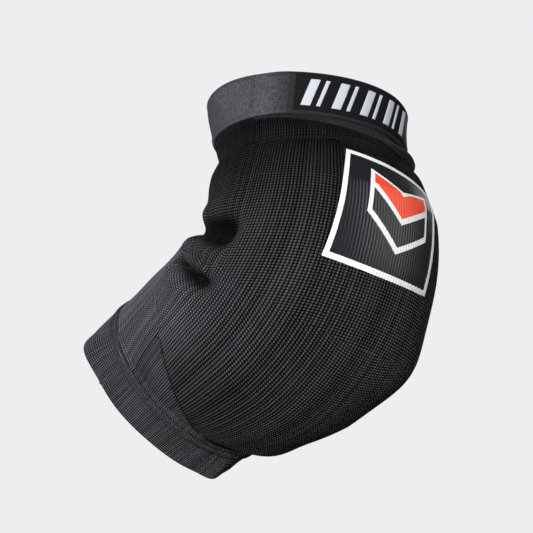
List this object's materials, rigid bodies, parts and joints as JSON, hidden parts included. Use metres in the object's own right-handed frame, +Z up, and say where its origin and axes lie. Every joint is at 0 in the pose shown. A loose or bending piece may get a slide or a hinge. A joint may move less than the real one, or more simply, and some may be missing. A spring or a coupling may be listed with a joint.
{
  "type": "elbow pad",
  "caption": "Slip-on elastic knit elbow sleeve with a foam cup in a sewn pocket, a hook-and-loop strap round its upper cuff and a folded forearm hem.",
  "frame": {"origin": "centre of the upper cuff's rim, where the upper arm comes out", "axes": "+Z up along the upper arm and out of the cuff, +X towards the elbow tip's side, +Y to complete the right-handed set; the elbow bends about a line parallel to Y"},
  "size_m": [0.2, 0.1388, 0.1992],
  "materials": {
    "rib_knit": "coarse black rib knit",
    "pocket_knit": "black honeycomb knit",
    "crook_knit": "fine black rib knit",
    "forearm_knit": "fine dark grey rib knit",
    "satin_elastic": "grey satin elastic",
    "tab_webbing": "doubled black elastic",
    "loop_tape": "brushed loop pile",
    "hook_tape": "moulded nylon hooks",
    "label_black": "woven damask",
    "label_grey": "woven damask",
    "thread": "spun polyester thread",
    "foam": "closed-cell foam",
    "print_black": "glossy transfer film",
    "print_white": "satin transfer film",
    "print_red": "satin transfer film"
  },
  "bodies": {
    "upper_sleeve": {"upper_cuff": "rib_knit", "upper_sleeve_knit": "rib_knit", "strap_band": "satin_elastic", "strap_band_stitching": "thread", "loop_tape": "loop_tape", "loop_tape_stitching": "thread", "strap_anchor_stitching": "thread"},
    "elbow": {"elbow_lining": "rib_knit", "crook_knit": "crook_knit", "foam_pad": "foam", "pocket_knit": "pocket_knit", "side_seam_near": "thread", "side_seam_far": "thread", "pocket_seam_upper": "thread", "pocket_seam_lower": "thread", "print_panel": "print_black", "print_border": "print_white", "print_chevron": "print_red", "print_chevron_outline": "print_white"},
    "forearm": {"forearm_knit": "forearm_knit", "forearm_hem": "forearm_knit", "hem_seam": "thread", "hem_lap_stitching": "thread"},
    "free_strap": {"strap_front": "satin_elastic"},
    "tab": {"tab_base": "tab_webbing", "hook_tape": "hook_tape", "woven_label": "label_black", "label_motif": "label_grey", "label_stitching": "thread"}
  },
  "joints": [
    {"name": "elbow_bend", "type": "hinge", "parent": "upper_sleeve", "child": "elbow", "pos_m": [0.0254, 0, -0.1077], "axis": [0, 1, 0], "range_deg": [-29, 20], "deforming": ["upper_sleeve_knit", "elbow_lining", "crook_knit", "foam_pad", "pocket_knit", "side_seam_near", "side_seam_far", "pocket_seam_upper", "pocket_seam_lower", "print_panel", "print_border", "print_chevron", "print_chevron_outline"]},
    {"name": "forearm_bend", "type": "hinge", "parent": "elbow", "child": "forearm", "pos_m": [0.0254, 0, -0.1077], "axis": [0, 1, 0], "range_deg": [-29, 20], "deforming": ["forearm_knit"]},
    {"name": "strap_unwrap", "type": "hinge", "parent": "upper_sleeve", "child": "free_strap", "pos_m": [0.01348, -0.05405, -0.0125], "axis": [0, 0, -1], "range_deg": [0, 100]},
    {"name": "tab_peel", "type": "hinge", "parent": "free_strap", "child": "tab", "pos_m": [0.03148, -0.04668, -0.0125], "axis": [0, 0, -1], "range_deg": [0, 110]}
  ],
  "couplings": [
    {"joint": "forearm_bend", "follows": "elbow_bend", "ratio": 1}
  ]
}
